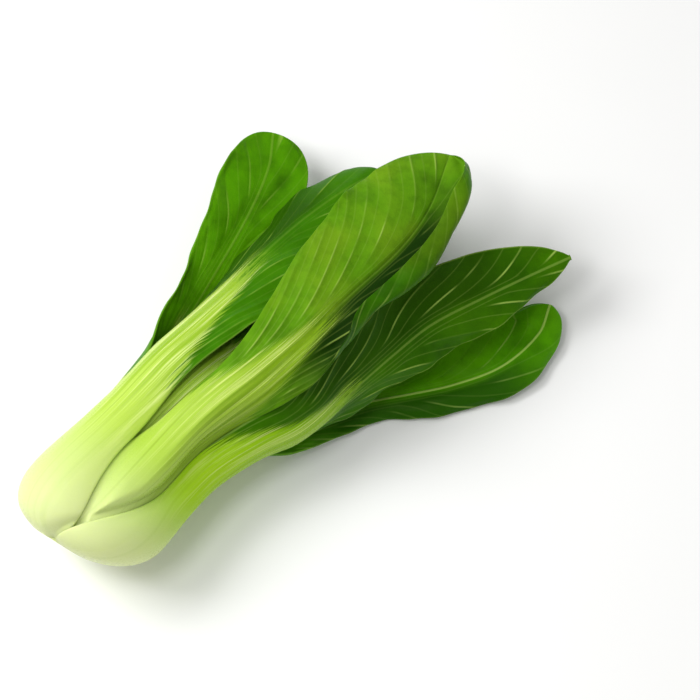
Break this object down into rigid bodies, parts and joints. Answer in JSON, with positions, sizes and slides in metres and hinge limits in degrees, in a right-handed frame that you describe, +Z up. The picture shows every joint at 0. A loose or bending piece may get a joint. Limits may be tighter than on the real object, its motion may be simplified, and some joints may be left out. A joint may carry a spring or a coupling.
{
  "type": "bok choy",
  "caption": "Head of Shanghai bok choy lying on its side: thick overlapping stalks in a bulb round a cut stem, opening out into wavy spoon-shaped blades.",
  "frame": {"origin": "on the table, at the small flat spot under the bulb that the head rests on", "axes": "+X from the cut base to the leaf tips, +Z up, table at z = 0"},
  "size_m": [0.2416, 0.1599, 0.0693],
  "materials": {
    "stem_cut": "satin, moist cut plant tissue",
    "leaf_outer": "satin, waxy leaf, pale fleshy stalk and green blade",
    "leaf_inner": "satin, waxy leaf, pale fleshy stalk and green blade",
    "leaf_heart": "satin, young yellow-green leaf"
  },
  "bodies": {
    "root": {"stem": "stem_cut", "leaf_outer_right": "leaf_outer", "leaf_outer_left": "leaf_outer", "leaf_outer_under": "leaf_outer", "leaf_top": "leaf_outer", "leaf_back_left": "leaf_outer", "leaf_back_right": "leaf_outer", "leaf_inner_top": "leaf_inner", "leaf_inner_left": "leaf_inner", "leaf_inner_right": "leaf_inner", "leaf_heart_left": "leaf_heart", "leaf_heart_right": "leaf_heart"}
  },
  "joints": []
}
